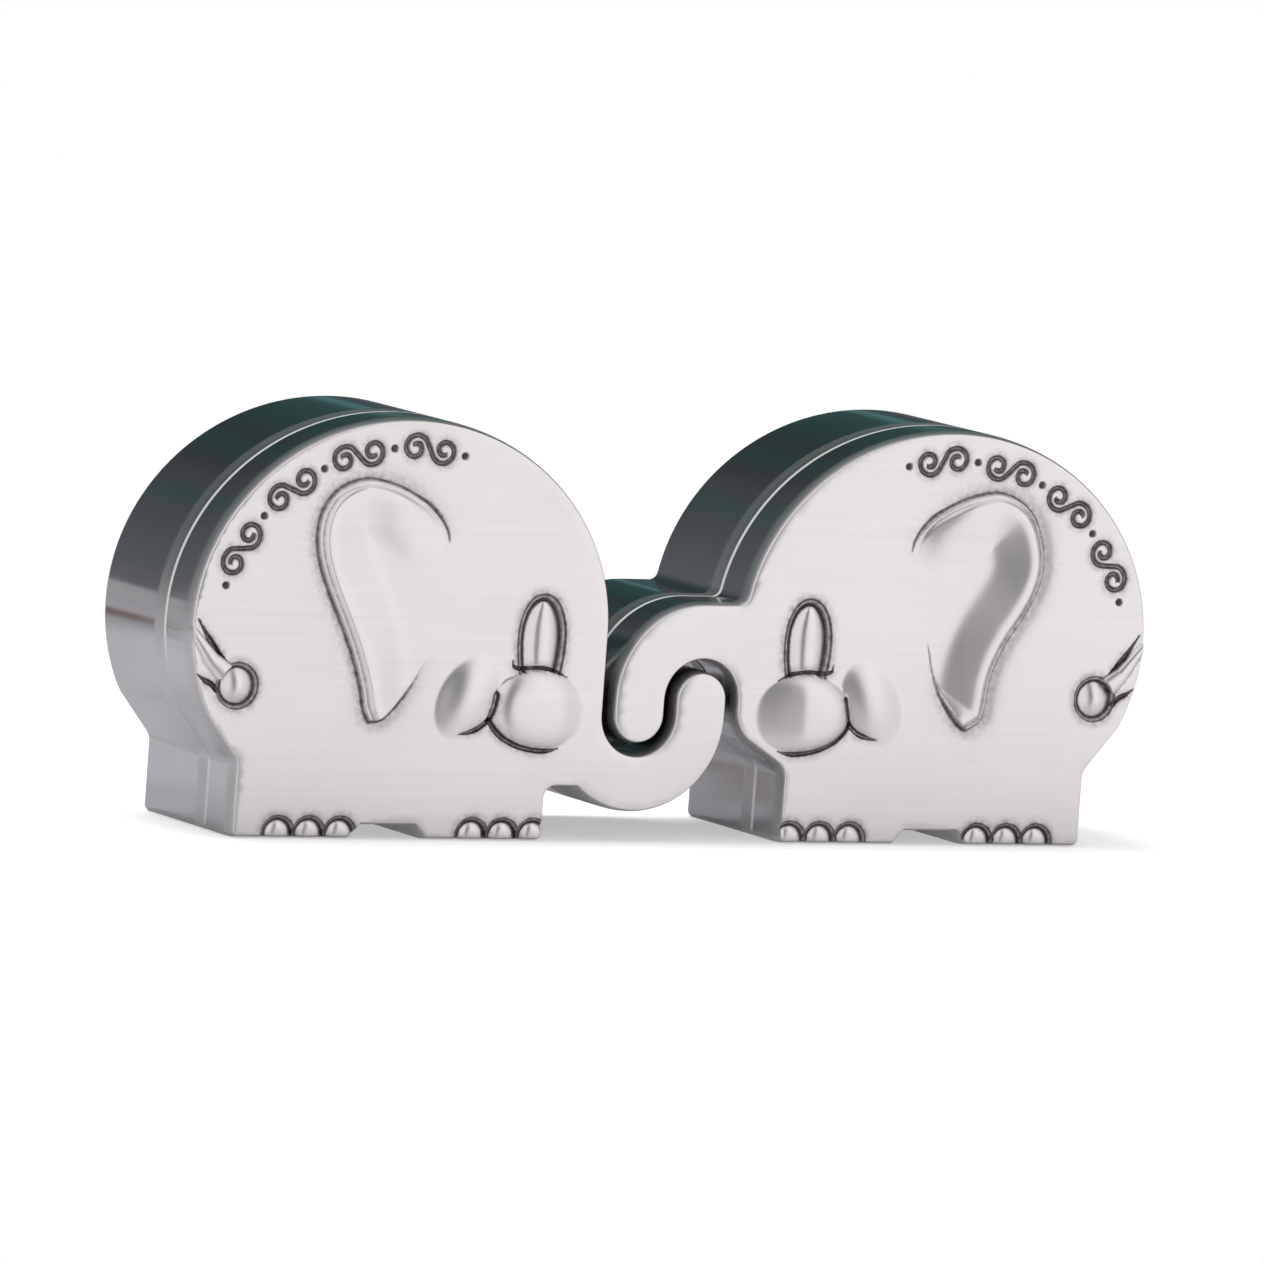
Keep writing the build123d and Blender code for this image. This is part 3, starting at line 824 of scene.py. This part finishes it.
def velvet_pad(box, part, body, material):
    """Crowned velvet pad with rounded edges and a little slack in its cloth."""
    name = f"{box}_{part}"
    low, high = (corner[1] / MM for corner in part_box(name))
    out = 1 if part == "lid_pad" else -1
    back, front = (low, high) if out > 0 else (high, low)
    start = back + out * PAD_EDGE
    outline = rim(name, front)

    def forms(x, z):
        crown = PAD_CROWN * (1 - soft_step(0, PAD_CROWN_REACH, outline_gap(x, z, outline)))
        slack = np.sin(0.9 * x + 0.7 * np.sin(0.5 * z)) * np.sin(0.8 * z + 0.9 * np.sin(0.45 * x))
        return -crown - PAD_SLACK * (1 + slack), 0 * x

    def spacing(x, z):
        return np.minimum(0.5 + 0.12 * outline_gap(x, z, outline), WIDEST)

    def keep(least, most):
        return least < start - LEVEL if out > 0 else most > start + LEVEL

    pad = Refacing(name, start, front, out, keep, forms, spacing)
    pad.fill(pad.roll_edge(PAD_ROUND, abs(front - start)), PAD_LEVELS)
    pad.lay_grain()
    for polygon in pad.mesh.faces:
        polygon.material_index = 0
    piece = finished(pad.mesh, f"{name}_velvet", FACE_SMOOTH, material)
    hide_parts(name)
    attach(piece, body)


def velvet_lining(box, material):
    """Foam-backed velvet band round the walls, with soft turned edges."""
    name = f"{box}_wall_lining"
    mesh = cad_mesh(name)
    bmesh.ops.dissolve_limit(mesh, angle_limit=math.radians(1), verts=mesh.verts, edges=mesh.edges)
    turned = [e for e in mesh.edges if len(e.link_faces) == 2
              and e.calc_face_angle(0) > math.radians(LINING_TURN)
              and abs(e.verts[0].co.y - e.verts[1].co.y) < LEVEL * MM]
    bmesh.ops.bevel(mesh, geom=turned, offset=LINING_ROUND * MM, segments=4, profile=0.5, affect="EDGES")
    piece = finished(mesh, f"{name}_velvet", LINING_SMOOTH, material)
    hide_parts(name)
    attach(piece, f"{box}_box")


# Shader nodes. A socket knows its tree, so a function that is given one needs no tree.

def feed(socket, value):
    """Set a socket to a value or colour, or link another one to it."""
    if isinstance(value, bpy.types.NodeSocket):
        socket.id_data.links.new(value, socket)
    else:
        socket.default_value = (*value, 1) if socket.type == "RGBA" else value


def node(tree, kind, **settings):
    """New node with settings, where a name that the node lacks is one of its inputs."""
    made = tree.nodes.new(kind)
    for key, value in settings.items():
        if hasattr(made, key):
            setattr(made, key, value)
        else:
            feed(made.inputs[key.replace("_", " ")], value)
    return made


def placed(tree, group, **values):
    """Outputs of a node group placed in a tree with its own values."""
    return node(tree, "ShaderNodeGroup", node_tree=group, **values).outputs


def calculated(operation, *values, clamp=False):
    """Result of an operation on sockets and numbers, taken step by step from the first one on."""
    tree = next(value for value in values if isinstance(value, bpy.types.NodeSocket)).id_data
    result = values[0]
    for value in values[1:]:
        made = node(tree, "ShaderNodeMath", operation=operation, use_clamp=clamp)
        feed(made.inputs[0], result)
        feed(made.inputs[1], value)
        result = made.outputs[0]
    return result


def total(*values, **settings):
    return calculated("ADD", *values, **settings)


def product(*values):
    return calculated("MULTIPLY", *values)


def mapped(value, low, high, **settings):
    """0 where the value is low or less, 1 where it is high or more."""
    made = node(value.id_data, "ShaderNodeMapRange", Value=value, From_Min=low, From_Max=high, **settings)
    return made.outputs[0]


def mixed(factor, *colours):
    """Mix of two colours."""
    made = node(factor.id_data, "ShaderNodeMix", data_type="RGBA")
    for number, value in zip((0, 6, 7), (factor, *colours)):      # the inputs that a mix of colours uses
        feed(made.inputs[number], value)
    return made.outputs[2]


def mixed_shaders(factor, *shaders):
    made = node(factor.id_data, "ShaderNodeMixShader")
    for socket, value in zip(made.inputs, (factor, *shaders)):
        feed(socket, value)
    return made.outputs[0]


def ramp(value, stops):
    """Colour ramp over a value, with stops as position and grey or colour."""
    made = node(value.id_data, "ShaderNodeValToRGB", Fac=value)
    elements = made.color_ramp.elements
    while len(elements) < len(stops):
        elements.new(1.0)
    for element, (position, colour) in zip(elements, sorted(stops)):
        element.position = position
        grey = isinstance(colour, float)
        element.color = (colour, colour, colour, 1) if grey else (*colour, 1)
    return made.outputs["Color"]


def degree_ramp(first, second, table, *offsets):
    """Colours by the angle whose sine and cosine are like first and second, turned on by the offsets."""
    turn = calculated("DIVIDE", calculated("ARCTAN2", first, second), 2 * math.pi)
    return ramp(total(turn, *offsets), [((degrees + 180) / 360, colour) for degrees, colour in table])


def coordinates(tree, kind):
    """Place or direction that the shader looks at."""
    return node(tree, "ShaderNodeTexCoord").outputs[kind]


def apart(whole):
    """X, Y and Z of a place or direction."""
    return node(whole.id_data, "ShaderNodeSeparateXYZ", Vector=whole).outputs


def noise(where, **settings):
    return node(where.id_data, "ShaderNodeTexNoise", Vector=where, **settings).outputs["Fac"]


def bumped(height, strength, distance):
    """Normal of a surface with a height, distance in metres."""
    made = node(height.id_data, "ShaderNodeBump", Height=height, Strength=strength, Distance=distance)
    return made.outputs[0]


def arrange(tree):
    """Lay out the nodes in columns, each to the left of all that it feeds."""
    column = {made.name: 0 for made in tree.nodes}
    for _ in tree.nodes:
        for link in tree.links:
            column[link.from_node.name] = max(column[link.from_node.name], column[link.to_node.name] + 1)
    filled = dict.fromkeys(column.values(), 0)
    for made in tree.nodes:
        step = column[made.name]
        made.location = (-NODE_GAP[0] * step, -NODE_GAP[1] * filled[step])
        filled[step] += 1


def new_group(name, inputs, outputs):
    """Empty node group with named numbers as inputs and outputs."""
    group = bpy.data.node_groups.new(name, "ShaderNodeTree")
    for label, value in inputs.items():
        socket = group.interface.new_socket(label, in_out="INPUT", socket_type="NodeSocketFloat")
        socket.default_value = value
    for label in outputs:
        group.interface.new_socket(label, in_out="OUTPUT", socket_type="NodeSocketFloat")
    return group, node(group, "NodeGroupInput").outputs, node(group, "NodeGroupOutput").inputs


def brushed_grain():
    """Fine parallel brush lines along X, as a height and as a tone."""
    group, given, result = new_group(
        "brushed_grain", {"Line Length": 14.0, "Lines": 4200.0, "Depth": 1.0}, ("Height", "Tone"))
    x, _, z = apart(coordinates(group, "Object"))
    layers = []
    for fineness, shortness in ((1.0, 1.0), (0.31, 1 / 0.37)):      # long fine lines, and coarser short ones
        spot = node(
            group, "ShaderNodeCombineXYZ", X=product(x, given["Line Length"], shortness),
            Z=product(z, given["Lines"], fineness))
        layers.append(noise(spot.outputs[0], Scale=1.0, Detail=2.0, Roughness=0.6))
    tone = product(total(*layers), 0.5)
    feed(result["Height"], product(tone, given["Depth"]))
    feed(result["Tone"], tone)
    arrange(group)
    return group


def handling_marks():
    """Uneven cloudiness of a handled metal surface."""
    group, given, result = new_group("handling_marks", {"Size": 60.0, "Low": 0.0, "High": 1.0}, ("Value",))
    cloud = noise(coordinates(group, "Object"), Scale=given["Size"], Detail=4.0, Roughness=0.55)
    feed(result["Value"], mapped(cloud, 0.3, 0.7, To_Min=given["Low"], To_Max=given["High"]))
    arrange(group)
    return group


def velvet_pile():
    """Short pile: tone and height of its tufts and of brushed patches."""
    group, given, result = new_group("velvet_pile", {"Tufts": 3500.0, "Patches": 90.0}, ("Tone", "Height"))
    where = coordinates(group, "Object")
    tufts = noise(where, Scale=given["Tufts"], Detail=2.0)
    patches = noise(where, Scale=given["Patches"], Detail=3.0)
    feed(result["Tone"], total(product(patches, 0.6), product(tufts, 0.4)))
    feed(result["Height"], tufts)
    arrange(group)
    return group


# Materials

def new_material(name):
    made = bpy.data.materials.new(name)
    made.use_nodes = True
    return made, made.node_tree


def dressed(made, **inputs):
    """The material, with these inputs on its own shader."""
    shader = made.node_tree.nodes["Principled BSDF"]
    for key, value in inputs.items():
        feed(shader.inputs[key.replace("_", " ")], value)
    arrange(made.node_tree)
    return made


def brushed_nickel(grain, marks):
    """Pale brushed face whose sunk lines keep a dark patina."""
    made, tree = new_material("brushed_nickel")
    patina = node(tree, "ShaderNodeAttribute", attribute_name="patina").outputs["Fac"]
    lines = placed(tree, grain)
    cloud = placed(tree, marks, Size=45.0)["Value"]
    speckle = placed(tree, marks, Size=1500.0, Low=-0.22, High=0.22)["Value"]
    worn = product(calculated("SUBTRACT", 1.0, patina), patina, speckle, 4.0)
    patina = total(patina, worn, clamp=True)
    metal = ramp(lines["Tone"], [(0.3, (0.805, 0.762, 0.768)), (0.7, (0.855, 0.812, 0.818))])
    dark = ramp(cloud, [(0.2, (0.028, 0.024, 0.024)), (0.8, (0.075, 0.062, 0.058))])
    direction = node(tree, "ShaderNodeTangent", direction_type="UV_MAP", uv_map="grain").outputs[0]
    return dressed(
        made, Base_Color=mixed(patina, metal, dark), Metallic=total(product(patina, -0.45), 1.0),
        Roughness=total(product(cloud, 0.05), 0.32, product(patina, 0.12)),
        Normal=bumped(lines["Height"], 0.05, 0.00002), Anisotropic=0.75, Anisotropic_Rotation=0.25,
        Tangent=direction)


def polished_nickel(marks):
    """Mirror-like plated wall, rubbed dull in strips along the seam and the face, which are also painted
    lighter as a painted highlight.
    """
    made, tree = new_material("polished_nickel")
    depth = mapped(apart(coordinates(tree, "Object"))[1], DULL_LIT_FROM * MM, DULL_LIT_TO * MM)
    dull_lit_strips = ramp(depth, [((y - DULL_LIT_FROM) / (DULL_LIT_TO - DULL_LIT_FROM), tone) for y, tone in DULL_LIT_STRIPS])
    cloud = placed(tree, marks, Size=35.0)["Value"]
    tone = ramp(cloud, [(0.0, (0.60, 0.60, 0.61)), (1.0, (0.68, 0.68, 0.69))])
    # The strips' lighter colour is a painted highlight; their higher roughness is real dullness
    return dressed(
        made, Base_Color=mixed(dull_lit_strips, tone, (0.74, 0.735, 0.74)), Metallic=1.0,
        Roughness=total(product(cloud, 0.05), product(dull_lit_strips, 0.32), 0.08))


def cast_metal(name, marks, size, tones, rough, bump=None):
    """Plain metal with cloudy tones; rough is how much its roughness varies, and the least of it."""
    made, tree = new_material(name)
    cloud = placed(tree, marks, Size=size)["Value"]
    if bump:
        dressed(made, Normal=bumped(cloud, *bump))
    return dressed(
        made, Base_Color=ramp(cloud, list(zip((0.0, 1.0), tones))), Metallic=1.0,
        Roughness=total(product(cloud, rough[0]), rough[1]))


def dark_velvet(pile):
    """Short dark blue-black pile with a soft sheen."""
    made, tree = new_material("dark_velvet")
    tufts = placed(tree, pile)
    tone = ramp(tufts["Tone"], [(0.3, (0.018, 0.018, 0.028)), (0.7, (0.055, 0.055, 0.078))])
    return dressed(
        made, Base_Color=tone, Normal=bumped(tufts["Height"], 0.5, 0.00015), Roughness=0.9,
        Sheen_Weight=0.6, Sheen_Roughness=0.4, Sheen_Tint=(0.55, 0.57, 0.70), Specular_IOR_Level=0.15)


# Studio

def studio_world():
    """White behind the object; what metal reflects is a studio of bright panels and dark corners."""
    world = bpy.data.worlds.new("studio")
    bpy.context.scene.world = world
    world.use_nodes = True
    tree = world.node_tree
    tree.nodes.clear()
    direction = coordinates(tree, "Generated")
    x, y, z = apart(direction)
    walls = degree_ramp(x, product(y, -1.0), STUDIO_WALLS, 0.5)
    wander = product(noise(direction, Scale=3.0, Detail=3.0), 0.06)
    back = degree_ramp(z, x, STUDIO_BACK, 0.47, wander)
    sky = mixed(calculated("GREATER_THAN", y, BACK_FROM), walls, back)
    sky = mixed(mapped(z, *CEILING), sky, CEILING_TONE)
    studio = node(tree, "ShaderNodeBackground", Color=sky).outputs[0]
    white = node(tree, "ShaderNodeBackground", Color=(1, 1, 1)).outputs[0]
    seen = node(tree, "ShaderNodeLightPath").outputs["Is Camera Ray"]
    feed(node(tree, "ShaderNodeOutputWorld").inputs[0], mixed_shaders(seen, studio, white))
    arrange(tree)


def studio_floor():
    """Pale floor that fades into the white round it; the metal sees it bright in front and greyer behind."""
    bpy.ops.mesh.primitive_grid_add(x_subdivisions=8, y_subdivisions=8, size=FLOOR * MM, location=(0, 0, 0))
    floor = bpy.context.object
    floor.name = "studio_floor"
    made, tree = new_material("pale_floor")
    where = coordinates(tree, "Object")
    table = ramp(noise(where, Scale=9.0, Detail=4.0), TABLE)
    mirrored = mixed(mapped(apart(where)[1], TABLE_FROM * MM, 0.0), FLOOR_MIRRORED, table)
    seen = node(tree, "ShaderNodeLightPath").outputs
    tone = mixed(seen["Is Camera Ray"], mirrored, FLOOR_TONE)
    faded = []
    for ray, middle, near, far in FLOOR_FADES:
        reach = node(tree, "ShaderNodeVectorMath", operation="DISTANCE")
        feed(reach.inputs[0], where)
        feed(reach.inputs[1], (0, middle * MM, 0))
        edge = mapped(reach.outputs["Value"], near * MM, far * MM, interpolation_type="SMOOTHSTEP")
        faded.append(product(edge, seen[ray]))
    looked_at = calculated("MAXIMUM", seen["Is Camera Ray"], seen["Is Glossy Ray"])
    glow = node(tree, "ShaderNodeEmission", Color=tone, Strength=FLOOR_GLOW).outputs[0]
    pale = tree.nodes["Principled BSDF"].outputs[0]
    lifted = mixed_shaders(product(looked_at, SHADOW_LIFT), pale, glow)
    clear = node(tree, "ShaderNodeBsdfTransparent").outputs[0]
    shown = mixed_shaders(calculated("MAXIMUM", *faded), lifted, clear)
    feed(tree.nodes["Material Output"].inputs[0], shown)
    floor.data.materials.append(dressed(made, Base_Color=tone, Roughness=0.9, Specular_IOR_Level=0.0))


def lamp(name, place, power):
    """Soft round lamp that metal doesn't mirror."""
    data = bpy.data.lights.new(name, "AREA")
    data.shape = "DISK"
    data.size = LAMP_SIZE
    data.energy = power
    made = into_scene(name, data)
    made.location = place
    made.rotation_euler = (Vector(LAMP_AIM) - Vector(place)).to_track_quat("-Z", "Y").to_euler()
    made.visible_glossy = False


def photo_camera():
    """Camera at the photograph's place."""
    data = bpy.data.cameras.new("camera")
    data.sensor_width = CAMERA_SENSOR
    data.lens = CAMERA_FOCAL / PHOTO_PIXELS * CAMERA_SENSOR
    data.clip_end = CAMERA_SIGHT
    camera = into_scene("camera", data)
    camera.matrix_world = (
        Matrix.Translation(Vector((CAMERA_AIM[0], FACE_Y, CAMERA_AIM[1])) * MM)
        @ Matrix.Rotation(math.radians(CAMERA_AZIMUTH), 4, "Z")
        @ Matrix.Rotation(math.radians(90 - CAMERA_ELEVATION), 4, "X")
        @ Matrix.Rotation(math.radians(CAMERA_ROLL), 4, "Z")
        @ Matrix.Translation((0, 0, CAMERA_DISTANCE * MM)))
    bpy.context.scene.camera = camera


def main():
    grain = brushed_grain()
    marks = handling_marks()
    pile = velvet_pile()
    brushed = brushed_nickel(grain, marks)
    polished = polished_nickel(marks)
    satin = cast_metal(
        "satin_casting", marks, 260.0, ((0.50, 0.49, 0.48), (0.62, 0.61, 0.60)), (0.15, 0.38), (0.2, 0.00005))
    plating = cast_metal(
        "magnet_plating", marks, 900.0, ((0.68, 0.68, 0.66), (0.74, 0.74, 0.72)), (0.08, 0.28))
    velvet = dark_velvet(pile)
    for box, side in BOXES.items():
        lid(box, side, (brushed, polished, satin))
        for part, material in (("tray", polished), ("tray_magnets", plating), ("lid_magnets", plating)):
            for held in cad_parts[f"{box}_{part}"].material_slots:
                held.material = material
        velvet_lining(box, velvet)
        velvet_pad(box, "floor_pad", f"{box}_box", velvet)
        velvet_pad(box, "lid_pad", f"{box}_cover", velvet)
    studio_world()
    studio_floor()
    for name, (place, power) in LAMPS.items():
        lamp(name, place, power)
    photo_camera()
    bpy.context.scene.view_settings.view_transform = "Standard"


main()
